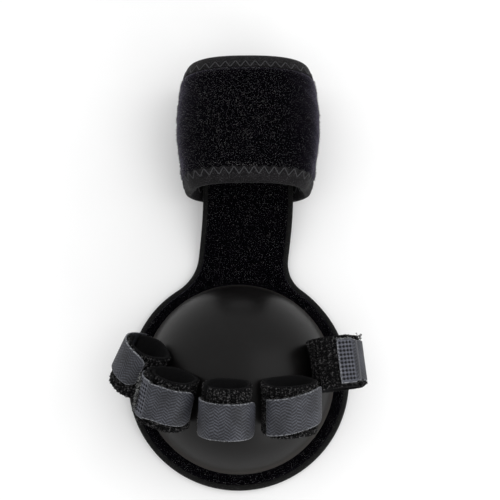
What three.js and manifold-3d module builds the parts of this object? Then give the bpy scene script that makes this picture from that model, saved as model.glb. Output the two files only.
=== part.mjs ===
// Metacarpal splint for a right hand. A flat padded board has a round base and a neck that ends in a shallow
// wrist trough. A half-ball pad on the round base carries the palm and fingers, five loops of pile tape with
// grey hook tabs hold the fingers and thumb on the ball, and a wide velour strap closes round the wrist.
// Millimetres, +Z up. The origin is the centre of the round base on its underside, +Y runs towards the wrist
// and +X towards the thumb.
import * as THREE from 'three';
import { mergeVertices } from 'three/addons/utils/BufferGeometryUtils.js';
import Module from 'manifold-3d';

// Clearance between pieces that touch on the real splint, and the wider one inside a folded tape.
const SEAM = 0.3;
const FOLD_SEAM = 1.5 * SEAM;

// Board: a round base, a neck and a trough under the wrist.
const BASE_RADIUS = 50.8;
const BOARD_THICKNESS = 5;
const NECK_HALF_WIDTH = 21;
const NECK_FILLET = 18;
const NECK_SHIFT = 4.3;
const BOARD_END = 139;
const BOARD_END_CORNER = 12;

// Tape folded over the board's edge. The board is pressed thinner beneath it.
const EDGE_TAPE = 0.9;
const EDGE_LIP = 2.2;
const EDGE_SINK = 0.2;

// Half-ball pad.
const BALL_RADIUS = 44.5;
const BALL_HEIGHT = 37;
const BALL_FOOT_ROUND = 1.2;

// Wrist strap: an oval round the wrist and the trough, open between its two ends under the board. Its padding
// swells from the ends, and every edge is drawn thin. Both edges are pinched in above the board.
const STRAP_NEAR = 83.2;
const STRAP_WIDTH = 59.8;
const STRAP_INNER_HALF_WIDTH = 26.4;
const STRAP_INNER_HEIGHT = 39;
const STRAP_OVAL = 2.5;
const STRAP_PADDED = 7;
const STRAP_FLAT = 3.6;
const STRAP_EDGE = 2.8;
const STRAP_SWELL = [12, 40];
const STRAP_END_ANGLE = 80;
const STRAP_END_CORNER = 9;
const STRAP_TAPE = 0.8;
const STRAP_LIP = 6.5;
const STRAP_PINCH = { hand: 2.4, arm: 1.2 };
const PINCH_BAND = [16, 27];

// Finger loops: pile tape sewn to the ball, closed over the finger by a hook tab welded to its upper end.
const LOOP_WIDTH = 23.2;
const LOOP_THICKNESS = 1.9;
const LOOP_OVAL = 2.35;
const TAB_THICKNESS = 1.2;
const TAB_CORNER = 4;
const PLY = LOOP_THICKNESS + SEAM;

// A full turn round a loop, and how far short of its own inner end a lapped tape starts and stops to rise.
const FULL_TURN = 360;
const LAP_RISE = [65, 8];

// One row for each finger, in degrees and millimetres. azimuth and polar place the loop on the ball, and
// heading turns it in plan from -Y towards +X. halfWidth and height are the hole for the finger. The tape's
// inner end, its outer end and the tab's two ends are angles round the loop: 0 is the thumb side, 90 the back
// of the finger, 180 the other side. tab is the width of the hook tab, shift moves it towards the fingertip
// and skew tilts it.
const FINGERS = [
  { name: 'little', azimuth: 177.5, polar: 55.5, heading: -30, halfWidth: 7.6, height: 14.5,
    inner: 150, outer: 176, tabFrom: 194, tabTo: 22, tab: 16, shift: -3.1, skew: 0 },
  { name: 'ring', azimuth: 205.5, polar: 38, heading: -14, halfWidth: 8.2, height: 15,
    inner: 162, outer: 108, tabFrom: 168, tabTo: -4, tab: 16, shift: -0.6, skew: 0.4 },
  { name: 'middle', azimuth: 256, polar: 22, heading: -2, halfWidth: 8.6, height: 15.5,
    inner: 138, outer: 160, tabFrom: 180, tabTo: 0, tab: 16, shift: 2.8, skew: 0 },
  { name: 'index', azimuth: 321.2, polar: 32, heading: 1, halfWidth: 10, height: 15.5,
    inner: 143, outer: 149, tabFrom: 166, tabTo: 14, tab: 16, shift: 0.1, skew: -4.4 },
  { name: 'thumb', azimuth: 4, polar: 54, heading: 7, halfWidth: 9.8, height: 15.5,
    inner: 165, outer: 109, tabFrom: 144, tabTo: 20, tab: 18, shift: 0, skew: 0 },
];

const MATERIALS = {
  velour: { color: 0x0b0a0e, roughness: 0.95, metalness: 0 },
  ball: { color: 0x2e2d2c, roughness: 0.5, metalness: 0 },
  tape: { color: 0x242526, roughness: 0.85, metalness: 0 },
  pile: { color: 0x0d0d0e, roughness: 1, metalness: 0 },
  hook: { color: 0x4c4d54, roughness: 0.6, metalness: 0 },
};

const radians = THREE.MathUtils.degToRad;
const smooth = THREE.MathUtils.smoothstep;

// An oval drawn between two angles: width 2a, height 2b, squarer as power grows, centred at (0, rise).
class Oval extends THREE.Curve {
  constructor(a, b, power, rise, from, to) {
    super();
    Object.assign(this, { a, b, power, rise, from: radians(from), to: radians(to) });
    this.arcLengthDivisions = 720;
  }

  getPoint(t, target = new THREE.Vector2()) {
    const angle = this.from + (this.to - this.from) * t;
    const [c, s] = [Math.cos(angle), Math.sin(angle)];
    const bend = (value) => Math.sign(value) * Math.abs(value) ** (2 / this.power);
    return target.set(this.a * bend(c), this.rise + this.b * bend(s));
  }

  // Distance along the curve at which it reaches an angle in degrees.
  distanceAt(angle) {
    const t = (radians(angle) - this.from) / (this.to - this.from);
    const lengths = this.getLengths();
    const place = t * (lengths.length - 1);
    const low = Math.min(Math.floor(place), lengths.length - 2);
    return THREE.MathUtils.lerp(lengths[low], lengths[low + 1], place - low);
  }

  // The point at a distance along the curve, moved outwards.
  offset(distance, out) {
    const u = THREE.MathUtils.clamp(distance / this.getLength(), 0, 1);
    const point = this.getPointAt(u);
    const tangent = this.getTangentAt(u);
    const turn = Math.sign(this.to - this.from);
    return point.add(new THREE.Vector2(tangent.y, -tangent.x).multiplyScalar(turn * out));
  }
}

// Evenly spaced values from one number to another, both included.
function steps(from, to, count) {
  return Array.from({ length: count + 1 }, (_, i) => from + ((to - from) * i) / count);
}

// Places across a layer as shares of its half-width, closer together towards its edges.
const rowShares = steps(-90, 90, 6).map((angle) => Math.sin(radians(angle)));

// A closed body from rings of points, one ring for each station. The ends of an open run are closed by strips
// between opposite points of the ring.
function skin(rings, closed) {
  const count = rings[0].length;
  const positions = rings.flat().flatMap((p) => [p.x, p.y, p.z]);
  const indices = [];
  const last = closed ? rings.length : rings.length - 1;
  for (let i = 0; i < last; i += 1) {
    const next = (i + 1) % rings.length;
    for (let j = 0; j < count; j += 1) {
      const k = (j + 1) % count;
      const [a, b, c, d] = [i * count + j, i * count + k, next * count + k, next * count + j];
      indices.push(a, b, c, a, c, d);
    }
  }
  if (!closed) {
    const start = (rings.length - 1) * count;
    for (let j = 0; j < count / 2 - 1; j += 1) {
      const [a, b, c, d] = [j, j + 1, count - 2 - j, count - 1 - j];
      indices.push(c, b, a, d, c, a, start + a, start + b, start + c, start + a, start + c, start + d);
    }
  }
  return tidy(positions, indices);
}

// Merges shared points, drops triangles that have no area left and turns the faces outwards.
function tidy(positions, indices) {
  const raw = new THREE.BufferGeometry();
  raw.setAttribute('position', new THREE.Float32BufferAttribute(positions, 3));
  raw.setIndex(indices);
  const merged = mergeVertices(raw, 1e-4);
  const index = [...merged.index.array];
  const faces = [];
  for (let i = 0; i < index.length; i += 3) {
    const [a, b, c] = index.slice(i, i + 3);
    if (a !== b && b !== c && a !== c) faces.push([a, b, c]);
  }
  const place = merged.getAttribute('position');
  const corner = (i) => new THREE.Vector3().fromBufferAttribute(place, i);
  const volume = faces.reduce((sum, [a, b, c]) => sum + corner(a).dot(corner(b).cross(corner(c))), 0);
  merged.setIndex(faces.flatMap(([a, b, c]) => (volume < 0 ? [a, c, b] : [a, b, c])));
  return merged;
}

// Sweeps a section through stations. place turns a station and one spot of its section into a point.
function sweep(stations, section, place) {
  return skin(
    stations.map((station) => section(station).map((spot) => place(station, ...spot))),
    false,
  );
}

// Sweeps a folded tape round an outline drawn flat. Each outline point has a place and an outward direction.
function foldTape(outline, section, place) {
  const ring = (p) => section.map(([out, ...rest]) => place(p.x + p.nx * out, p.y + p.ny * out, ...rest));
  return skin(outline.map(ring), true);
}

// The folded tape's section, a C that is open towards the sheet: [out, face, up], where face 0 measures up
// from the sheet's lower face and face 1 from its upper face.
function foldSection(lip, tape, sink) {
  return [
    [-lip, 1, -sink], [-tape, 1, -sink], [0, 1, -sink - tape], [0, 0, sink + tape], [-tape, 0, sink],
    [-lip, 0, sink], [-lip, 0, sink + tape], [-tape, 0, sink + tape], [-tape, 1, -sink - tape],
    [-lip, 1, -sink - tape],
  ];
}

// Section of a layer held off both faces of its sheet: the upper row of points, then the lower row back again.
function layerSection(half, off) {
  return [
    ...rowShares.map((share) => [share * half, 1, -off]),
    ...rowShares.map((share) => [-share * half, 0, off]),
  ];
}

// Outline of a flat shape that mirrors about its centre line, from its half-width at each station. The first
// and last stations are crossed in rungs.
function outlineOf(points) {
  const right = points.map(([along, half]) => new THREE.Vector2(half, along));
  const left = points.map(([along, half]) => new THREE.Vector2(-half, along)).reverse();
  const rungs = rowShares.slice(1, -1);
  const [near, far] = [points[0], points[points.length - 1]];
  const loop = [
    ...rungs.map((share) => new THREE.Vector2(near[1] * share, near[0])),
    ...right,
    ...rungs.map((share) => new THREE.Vector2(-far[1] * share, far[0])),
    ...left,
  ];
  return loop.map((point, i) => {
    const before = loop[(i + loop.length - 1) % loop.length];
    const after = loop[(i + 1) % loop.length];
    const along = after.clone().sub(before).normalize();
    return { x: point.x, y: point.y, nx: along.y, ny: -along.x };
  });
}

// Board.

const strapHalfHeight = STRAP_INNER_HEIGHT / 2;
const strapCentre = STRAP_FLAT + strapHalfHeight * Math.sin(radians(STRAP_END_ANGLE)) ** (2 / STRAP_OVAL);
const strapMiddle = STRAP_NEAR + STRAP_WIDTH / 2;
const wristRise = strapCentre - strapHalfHeight + SEAM;
const neckStart = BASE_RADIUS + 2;
const filletSide = NECK_HALF_WIDTH + NECK_FILLET;
const filletCentre = Math.sqrt((BASE_RADIUS + NECK_FILLET) ** 2 - filletSide ** 2);
const filletStart = (filletCentre * BASE_RADIUS) / (BASE_RADIUS + NECK_FILLET);

// Half-width of the board at a station, drawn in by inset from the outer edge.
function boardHalf(y, inset) {
  const radius = BASE_RADIUS - inset;
  const scale = radius / BASE_RADIUS;
  const corner = BOARD_END_CORNER - inset;
  const end = BOARD_END - inset;
  if (y < filletStart * scale) return Math.sqrt(Math.max(0, radius ** 2 - y ** 2));
  if (y < filletCentre) {
    const bend = NECK_FILLET + inset;
    return filletSide - Math.sqrt(Math.max(0, bend ** 2 - (filletCentre - y) ** 2));
  }
  const cut = Math.max(0, y - (end - corner));
  return NECK_HALF_WIDTH - inset - corner + Math.sqrt(Math.max(0, corner ** 2 - cut ** 2));
}

// Stations along the board at one inset, closer together round the curves.
function boardStations(inset) {
  const radius = BASE_RADIUS - inset;
  const corner = BOARD_END_CORNER - inset;
  const end = BOARD_END - inset;
  const meet = Math.acos(filletStart / BASE_RADIUS);
  return [
    ...steps(Math.PI - radians(5), meet, 15).map((angle) => radius * Math.cos(angle)),
    ...steps((filletStart * radius) / BASE_RADIUS, filletCentre, 4).slice(1),
    ...steps(filletCentre, STRAP_NEAR, 7).slice(1),
    ...steps(STRAP_NEAR, end - corner, 3).slice(1),
    ...steps(0, radians(75), 4).slice(1).map((angle) => end - corner + corner * Math.sin(angle)),
  ];
}

// Height that the trough's sides gain at x from its middle: the strap's own oval, just inside it.
function troughRise(x) {
  const share = Math.min(1, Math.abs(x) / (STRAP_INNER_HALF_WIDTH - SEAM));
  return strapHalfHeight * (1 - (1 - share ** STRAP_OVAL) ** (1 / STRAP_OVAL));
}

// A point of the board: x across from the centre line, y along, up from its lower or upper face.
function onBoard(x, y, face, up) {
  const lift = smooth(y, neckStart, STRAP_NEAR - 2);
  return new THREE.Vector3(
    x + NECK_SHIFT * smooth(y, BASE_RADIUS * 0.6, STRAP_NEAR),
    y,
    lift * (wristRise + troughRise(x)) + face * BOARD_THICKNESS + up,
  );
}

// A layer of the board, drawn in by inset and held off both faces.
function boardLayer(inset, off) {
  const section = (y) => layerSection(boardHalf(y, inset), off);
  return sweep(boardStations(inset), section, (y, x, face, up) => onBoard(x, y, face, up));
}

const wasm = await Module();
wasm.setup();

function toSolid(geometry) {
  return new wasm.Manifold(new wasm.Mesh({
    numProp: 3,
    vertProperties: new Float32Array(geometry.getAttribute('position').array),
    triVerts: new Uint32Array(geometry.index.array),
  }));
}

function toGeometry(solid) {
  const mesh = solid.getMesh();
  return tidy([...mesh.vertProperties], [...mesh.triVerts]);
}

function boardBody() {
  const rim = boardLayer(EDGE_TAPE + FOLD_SEAM, EDGE_SINK + EDGE_TAPE + FOLD_SEAM);
  const core = boardLayer(EDGE_LIP + SEAM, 0);
  return toGeometry(toSolid(rim).add(toSolid(core)));
}

function boardEdge() {
  const outline = outlineOf(boardStations(0).map((y) => [y, boardHalf(y, 0)]));
  return foldTape(outline, foldSection(EDGE_LIP, EDGE_TAPE, EDGE_SINK), onBoard);
}

// Half-ball pad: a cap of a sphere with a small round at its foot.

const ballCentre = BOARD_THICKNESS + SEAM + BALL_HEIGHT - BALL_RADIUS;

function ballBody() {
  const foot = BOARD_THICKNESS + SEAM;
  const lowest = Math.asin((foot + BALL_FOOT_ROUND - ballCentre) / BALL_RADIUS);
  const cap = steps(lowest, Math.PI / 2, 12).map(
    (angle) => new THREE.Vector2(BALL_RADIUS * Math.cos(angle), ballCentre + BALL_RADIUS * Math.sin(angle)),
  );
  cap[cap.length - 1].x = 0;
  const profile = [new THREE.Vector2(0, foot), new THREE.Vector2(cap[0].x - BALL_FOOT_ROUND, foot), ...cap];
  const geometry = new THREE.LatheGeometry(profile, 48);
  geometry.rotateX(Math.PI / 2);
  return tidy([...geometry.getAttribute('position').array], [...geometry.index.array]);
}

// Wrist strap.

const strapPath = new Oval(
  STRAP_INNER_HALF_WIDTH, strapHalfHeight, STRAP_OVAL, strapCentre,
  -STRAP_END_ANGLE, 180 + STRAP_END_ANGLE,
);
const strapLength = strapPath.getLength();

// Thickness of the strap at a place on it.
function strapThickness(across, along) {
  const swell = smooth(Math.min(along, strapLength - along), ...STRAP_SWELL);
  const middle = THREE.MathUtils.lerp(STRAP_FLAT, STRAP_PADDED, swell);
  const edge = Math.min(1, Math.abs(across) / (STRAP_WIDTH / 2));
  return middle - (middle - STRAP_EDGE) * edge ** 3;
}

// A point of the strap: across from its middle, along its length, out from its inner or outer face.
function onStrap(across, along, face, out) {
  const side = across < 0 ? STRAP_PINCH.hand : STRAP_PINCH.arm;
  const pinch = side * smooth(Math.abs(across), 0, STRAP_WIDTH / 2);
  const free = smooth(strapPath.offset(along, 0).y, ...PINCH_BAND);
  const flat = strapPath.offset(along, face * strapThickness(across, along) + out - pinch * free);
  return new THREE.Vector3(NECK_SHIFT + flat.x, strapMiddle + across, flat.y);
}

function strapHalf(along, inset) {
  const corner = Math.max(0.5, STRAP_END_CORNER - inset);
  const near = Math.min(along, strapLength - along) - inset;
  const cut = Math.max(0, corner - near);
  return STRAP_WIDTH / 2 - inset - corner + Math.sqrt(Math.max(0, corner ** 2 - cut ** 2));
}

function strapStations(inset) {
  const corner = Math.max(0.5, STRAP_END_CORNER - inset);
  const round = steps(radians(15), Math.PI / 2, 4).map((angle) => inset + corner * (1 - Math.cos(angle)));
  return [
    ...round,
    ...steps(inset + corner, strapLength - inset - corner, 34).slice(1, -1),
    ...round.map((along) => strapLength - along).reverse(),
  ];
}

function strapLayer(inset, off) {
  const section = (along) => layerSection(strapHalf(along, inset), off);
  const place = (along, across, face, out) => onStrap(across, along, face, out);
  return sweep(strapStations(inset), section, place);
}

function strapBody() {
  const rim = strapLayer(STRAP_TAPE + FOLD_SEAM, STRAP_TAPE + SEAM);
  const core = strapLayer(STRAP_LIP + FOLD_SEAM, 0);
  return toGeometry(toSolid(rim).add(toSolid(core)));
}

function strapEdge() {
  const outline = outlineOf(strapStations(0).map((along) => [along, strapHalf(along, 0)]));
  return foldTape(outline, foldSection(STRAP_LIP, STRAP_TAPE, 0), onStrap);
}

// Finger loops and hook tabs.

// Where a finger's loop sits on the ball: a foot point, and directions along, across and away from the ball.
function seatOf(finger) {
  const [azimuth, polar, heading] = [finger.azimuth, finger.polar, finger.heading].map(radians);
  const up = new THREE.Vector3(
    Math.sin(polar) * Math.cos(azimuth), Math.sin(polar) * Math.sin(azimuth), Math.cos(polar),
  );
  const [x, y] = [Math.sin(heading), -Math.cos(heading)];
  const along = new THREE.Vector3(x, y, -(x * up.x + y * up.y) / up.z).normalize();
  const side = new THREE.Vector3().crossVectors(up, along);
  const foot = up.clone().multiplyScalar(BALL_RADIUS + SEAM + LOOP_THICKNESS);
  foot.z += ballCentre;
  return { foot, along, side, up };
}

// How far the ball falls away below its own tangent plane, at a distance from the foot point.
function ballDrop(distance) {
  return BALL_RADIUS - Math.sqrt(Math.max(0, BALL_RADIUS ** 2 - distance ** 2));
}

// A point of a finger's tape: distance along its path, across towards the fingertip, out from the finger.
// The stretch under the finger follows the ball.
function onLoop(seat, path, across, distance, out) {
  const flat = path.offset(distance, out);
  const lie = 1 - smooth(flat.y, 0, path.b);
  const height = flat.y - lie * ballDrop(Math.hypot(flat.x, across));
  return seat.foot.clone()
    .addScaledVector(seat.side, flat.x)
    .addScaledVector(seat.up, height)
    .addScaledVector(seat.along, across);
}

// Section of a flat tape: its outer row of points, then its inner row back again.
function tapeSection(half, thickness, count) {
  const shares = steps(-1, 1, count);
  return [
    ...shares.map((share) => [share * half, thickness]),
    ...shares.map((share) => [-share * half, 0]),
  ];
}

// 1 where the tape's outer end lies over its inner end, otherwise 0.
function lapped(finger) {
  return finger.outer < finger.inner ? 1 : 0;
}

function loopBody(finger) {
  const seat = seatOf(finger);
  const { inner, outer, halfWidth, height } = finger;
  const path = new Oval(halfWidth, height / 2, LOOP_OVAL, height / 2, inner, outer - FULL_TURN);
  const [liftFrom, liftTo] = LAP_RISE.map((short) => path.distanceAt(inner - FULL_TURN + short));
  const section = () => tapeSection(LOOP_WIDTH / 2, LOOP_THICKNESS, 5);
  return sweep(steps(0, path.getLength(), 34), section, (distance, across, out) => {
    const ply = lapped(finger) * PLY * smooth(distance, liftFrom, liftTo);
    return onLoop(seat, path, across, distance, out + ply);
  });
}

function tabBody(finger) {
  const seat = seatOf(finger);
  const { tabFrom, tabTo, halfWidth, height } = finger;
  const path = new Oval(halfWidth, height / 2, LOOP_OVAL, height / 2, tabFrom, tabTo);
  const length = path.getLength();
  const stepFrom = path.distanceAt(finger.outer - 2);
  const corner = (distance) => {
    const cut = Math.max(0, TAB_CORNER - (length - distance));
    return finger.tab / 2 - TAB_CORNER + Math.sqrt(TAB_CORNER ** 2 - cut ** 2);
  };
  const stations = [
    ...steps(0, length - TAB_CORNER, 18),
    ...steps(0, radians(75), 3).slice(1).map((angle) => length - TAB_CORNER * (1 - Math.sin(angle))),
  ];
  const section = (distance) => tapeSection(corner(distance), TAB_THICKNESS, 2);
  return sweep(stations, section, (distance, across, out) => {
    const ply = PLY * (1 + lapped(finger) * (1 - smooth(distance, stepFrom, stepFrom + 2 * PLY)));
    const drift = finger.shift + finger.skew * (distance / length - 0.5);
    return onLoop(seat, path, across + drift, distance, out + ply);
  });
}

const splint = new THREE.Group();

function addPiece(name, geometry, material) {
  const mesh = new THREE.Mesh(geometry, new THREE.MeshStandardMaterial(MATERIALS[material]));
  mesh.name = name;
  splint.add(mesh);
}

addPiece('base_board', boardBody(), 'velour');
addPiece('board_edge_tape', boardEdge(), 'tape');
addPiece('palm_ball', ballBody(), 'ball');
addPiece('wrist_strap', strapBody(), 'velour');
addPiece('wrist_strap_edge_tape', strapEdge(), 'tape');
for (const finger of FINGERS) {
  addPiece(`finger_loop_${finger.name}`, loopBody(finger), 'pile');
  addPiece(`hook_tab_${finger.name}`, tabBody(finger), 'hook');
}

export default splint;
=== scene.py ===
# Visual model of a right-hand metacarpal splint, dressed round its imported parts. Sizes are millimetres until
# a mesh is made. The origin is under the centre of the round base, +Y runs to the wrist strap, +X to the
# thumb loop and +Z up.
import math

import bpy
import numpy as np
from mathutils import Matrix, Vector


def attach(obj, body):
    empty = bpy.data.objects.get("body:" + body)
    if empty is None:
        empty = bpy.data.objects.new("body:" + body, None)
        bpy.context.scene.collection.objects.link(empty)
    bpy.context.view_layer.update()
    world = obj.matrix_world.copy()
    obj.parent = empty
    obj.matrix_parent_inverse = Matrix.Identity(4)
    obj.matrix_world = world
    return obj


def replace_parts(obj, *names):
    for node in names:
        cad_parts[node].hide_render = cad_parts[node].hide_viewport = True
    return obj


MM = 0.001
rng = np.random.default_rng(11)
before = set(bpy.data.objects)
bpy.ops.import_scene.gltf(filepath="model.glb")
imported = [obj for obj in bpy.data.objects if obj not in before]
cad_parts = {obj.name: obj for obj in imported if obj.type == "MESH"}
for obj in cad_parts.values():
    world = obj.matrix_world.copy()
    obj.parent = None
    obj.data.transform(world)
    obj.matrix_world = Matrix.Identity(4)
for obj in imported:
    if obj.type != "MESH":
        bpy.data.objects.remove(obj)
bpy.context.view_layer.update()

# Clearance between pieces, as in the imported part
SEAM = 0.3

# Board
BASE_RADIUS = 50.8
BOARD_THICKNESS = 5
NECK_HALF_WIDTH = 21
NECK_FILLET = 18
NECK_SHIFT = 4.3
BOARD_END = 139
BOARD_END_CORNER = 12
EDGE_TAPE = 0.9
EDGE_LIP = 2.2
EDGE_SINK = 0.2

# Half-ball pad
BALL_RADIUS = 44.5
BALL_HEIGHT = 37
BALL_FOOT_ROUND = 0.5

# Wrist strap
STRAP_NEAR = 83.2
STRAP_WIDTH = 59.8
STRAP_INNER_HALF_WIDTH = 26.4
STRAP_INNER_HEIGHT = 39
STRAP_OVAL = 2.5
STRAP_PADDED = 7
STRAP_FLAT = 3.6
STRAP_EDGE = 2.8
STRAP_SWELL = (12, 40)
STRAP_END_ANGLE = 80
STRAP_END_CORNER = 9
STRAP_TAPE = 0.8
STRAP_LIP = 6.5
STRAP_PINCH_NEAR = 2.4
STRAP_PINCH_FAR = 1.2
PINCH_BAND = (16, 27)

# Finger loops and hook tabs
LOOP_WIDTH = 23.2
LOOP_THICKNESS = 1.9
LOOP_OVAL = 2.35
TAB_THICKNESS = 1.2
TAB_CORNER = 4
PLY = LOOP_THICKNESS + SEAM

# A full turn round a loop in degrees, and how far short of its own inner end a lapped tape starts and stops
# to rise
FULL_TURN = 360
LAP_RISE = (65, 8)

# One row for each loop, in degrees and millimetres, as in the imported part. weld is the number of columns of
# pressed dots on its tab, and weld_from is where they start over the tab's outer face.
LOOPS = {
    "little": dict(azimuth=177.5, polar=55.5, heading=-30, half_width=7.6, height=14.5, inner=150, outer=176,
                   tab_from=194, tab_to=22, tab=16, shift=-3.1, skew=0, weld=0, weld_from=0),
    "ring": dict(azimuth=205.5, polar=38, heading=-14, half_width=8.2, height=15, inner=162, outer=108,
                 tab_from=168, tab_to=-4, tab=16, shift=-0.6, skew=0.4, weld=4, weld_from=8.4),
    "middle": dict(azimuth=256, polar=22, heading=-2, half_width=8.6, height=15.5, inner=138, outer=160,
                   tab_from=180, tab_to=0, tab=16, shift=2.8, skew=0, weld=0, weld_from=0),
    "index": dict(azimuth=321.2, polar=32, heading=1, half_width=10, height=15.5, inner=143, outer=149,
                  tab_from=166, tab_to=14, tab=16, shift=0.1, skew=-4.4, weld=0, weld_from=0),
    "thumb": dict(azimuth=4, polar=54, heading=7, half_width=9.8, height=15.5, inner=165, outer=109,
                  tab_from=144, tab_to=20, tab=18, shift=0, skew=0, weld=4, weld_from=1.4),
}

# Frayed thread: the loop it is on, the number of curls, the two places across and along the tab that they lie
# between, their length, and whether they are dark thread of the pile or pale thread of the tab
FRAYS = {
    "ring_weld": dict(loop="ring", count=110, low=(-7, 2.4), high=(8, 5.2), reach=1.9, dark=False),
    "ring_edge": dict(loop="ring", count=64, low=(-8, 2.8), high=(8, 5.6), reach=1.7, dark=True),
    "middle_end": dict(loop="middle", count=50, low=(-1, 0), high=(8, 0.8), reach=1.2, dark=False),
    "thumb_corner": dict(loop="thumb", count=14, low=(-9.8, 0), high=(-9, 4), reach=0.9, dark=False),
    "thumb_near_edge": dict(loop="thumb", count=16, low=(-11.2, 10), high=(-9.6, 14.5), reach=1.2, dark=True),
    "thumb_far_edge": dict(loop="thumb", count=26, low=(9.2, 9), high=(11, 14.5), reach=1.2, dark=True),
    "index_end": dict(loop="index", count=14, low=(2, 0), high=(8, 0.5), reach=0.8, dark=False),
}

# Radii of threads and fibres
THREAD_RADIUS = 0.17
FRAY_RADIUS = 0.15
PILE_RADIUS = 0.13
FIBRE_RADIUS = 0.085
HOOK_RADIUS = 0.07

# Fabric details
OUTLINE_STEP = 0.7
STITCH_PITCH = 4.3
STITCH_REACH = 3.1
SELVEDGE_PITCH = 0.95
TAB_GRID = 0.24
HERRINGBONE_COLUMN = 2.4
HERRINGBONE_LINE = 1.37
HERRINGBONE_SLOPE = 0.55
HERRINGBONE_FLOAT = 1.1
WELD_PITCH = 1.75
WELD_DOT = 0.62
WELD_SPREAD = 0.8
PILE_COLUMN = 1.75
PILE_ROW = 0.95
PILE_SLANT = 0.8
PILE_LOOPS = 3200
HOOK_COUNT = 120

# The oval paths' first even steps round the angle, and the spacing along their length that they are kept at
OVAL_ANGLES = 2881
OVAL_STEP = 0.15


def smooth(x, low, high):
    """0 below low, 1 above high, and an S-curve between them."""
    t = np.clip((x - low) / (high - low), 0, 1)
    return t * t * (3 - 2 * t)


def rounded(edge, reach):
    """How far a rounded edge has dropped, from 1 at the edge to 0 at a distance of reach."""
    return 1 - np.sqrt(1 - (1 - np.clip(edge / reach, 0, 1)) ** 2)


def unit(v):
    return v / np.maximum(np.linalg.norm(v, axis=-1, keepdims=True), 1e-9)


class Oval:
    """An oval between two angles in degrees, measured along its length."""

    def __init__(self, half_width, half_height, power, rise, start, end):
        degrees = np.linspace(start, end, OVAL_ANGLES)
        angle = np.radians(degrees)
        x = half_width * np.sign(np.cos(angle)) * np.abs(np.cos(angle)) ** (2 / power)
        y = half_height * np.sign(np.sin(angle)) * np.abs(np.sin(angle)) ** (2 / power) + rise
        run = np.concatenate([[0], np.cumsum(np.hypot(np.diff(x), np.diff(y)))])
        self.length = run[-1]
        self.half_height = half_height
        self.table = np.linspace(0, self.length, int(self.length / OVAL_STEP))
        self.x = np.interp(self.table, run, x)
        self.y = np.interp(self.table, run, y)
        self.degrees = np.interp(self.table, run, degrees)
        slope = np.stack([np.gradient(self.x), np.gradient(self.y)], 1)
        slope = unit(slope) * np.sign(end - start)
        self.out_x, self.out_y = slope[:, 1], -slope[:, 0]

    def at(self, distance, out=0.0):
        """x and y at a distance along the oval, moved outwards."""
        x, y, nx, ny = (np.interp(distance, self.table, v) for v in (self.x, self.y, self.out_x, self.out_y))
        return x + nx * out, y + ny * out

    def angle_at(self, distance):
        return np.interp(distance, self.table, self.degrees)

    def distance_at(self, angle):
        order = 1 if self.degrees[-1] > self.degrees[0] else -1
        return float(np.interp(angle, self.degrees[::order], self.table[::order]))


# Places on the board

strap_half_height = STRAP_INNER_HEIGHT / 2
strap_end_drop = math.sin(math.radians(STRAP_END_ANGLE)) ** (2 / STRAP_OVAL)
strap_centre = STRAP_FLAT + strap_half_height * strap_end_drop
strap_middle = STRAP_NEAR + STRAP_WIDTH / 2
wrist_rise = strap_centre - strap_half_height + SEAM
fillet_side = NECK_HALF_WIDTH + NECK_FILLET
fillet_centre = math.sqrt((BASE_RADIUS + NECK_FILLET) ** 2 - fillet_side**2)
fillet_start = fillet_centre * BASE_RADIUS / (BASE_RADIUS + NECK_FILLET)


def on_board(x, y, face, up):
    """Places on the board: x across, y along, up from its lower (face 0) or upper (face 1) side."""
    lift = smooth(y, BASE_RADIUS + 2, STRAP_NEAR - 2)
    share = np.minimum(np.abs(x) / (STRAP_INNER_HALF_WIDTH - SEAM), 1)
    trough = strap_half_height * (1 - (1 - share**STRAP_OVAL) ** (1 / STRAP_OVAL))
    shifted = x + NECK_SHIFT * smooth(y, BASE_RADIUS * 0.6, STRAP_NEAR)
    height = lift * (wrist_rise + trough) + face * BOARD_THICKNESS + up
    return np.stack(np.broadcast_arrays(shifted, y, height), -1)


def arc(x, y, radius, start, end, count=40):
    """Points of an arc between two angles in degrees."""
    angle = np.radians(np.linspace(start, end, count))
    return np.stack([x + radius * np.cos(angle), y + radius * np.sin(angle)], 1)


def board_outline():
    """The board's right half from the front to the end's middle, then its mirror image."""
    meet = math.degrees(math.asin(fillet_start / BASE_RADIUS))
    corner_x, corner_y = NECK_HALF_WIDTH - BOARD_END_CORNER, BOARD_END - BOARD_END_CORNER
    right = np.concatenate([
        arc(0, 0, BASE_RADIUS, -90, meet, 120),
        arc(fillet_side, fillet_centre, NECK_FILLET, 180 + meet, 180),
        arc(corner_x, corner_y, BOARD_END_CORNER, 0, 90),
    ])
    return np.concatenate([right, right[::-1] * [-1, 1]])


# Places on the strap

strap_path = Oval(STRAP_INNER_HALF_WIDTH, strap_half_height, STRAP_OVAL, strap_centre,
                  -STRAP_END_ANGLE, 180 + STRAP_END_ANGLE)


def strap_thickness(across, along):
    """The strap swells from its ends and is drawn thin at its edges."""
    swell = smooth(np.minimum(along, strap_path.length - along), *STRAP_SWELL)
    middle = STRAP_FLAT + (STRAP_PADDED - STRAP_FLAT) * swell
    edge = np.minimum(1, np.abs(across) / (STRAP_WIDTH / 2))
    return middle - (middle - STRAP_EDGE) * edge**3


def on_strap(across, along, face, out):
    """Places on the strap: across its width, along its length, out from its inner or outer side."""
    side = np.where(across < 0, STRAP_PINCH_NEAR, STRAP_PINCH_FAR)
    pinch = side * smooth(np.abs(across), 0, STRAP_WIDTH / 2)
    free = smooth(strap_path.at(along)[1], *PINCH_BAND)
    x, z = strap_path.at(along, face * strap_thickness(across, along) + out - pinch * free)
    return np.stack(np.broadcast_arrays(NECK_SHIFT + x, strap_middle + across, z), -1)


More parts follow.
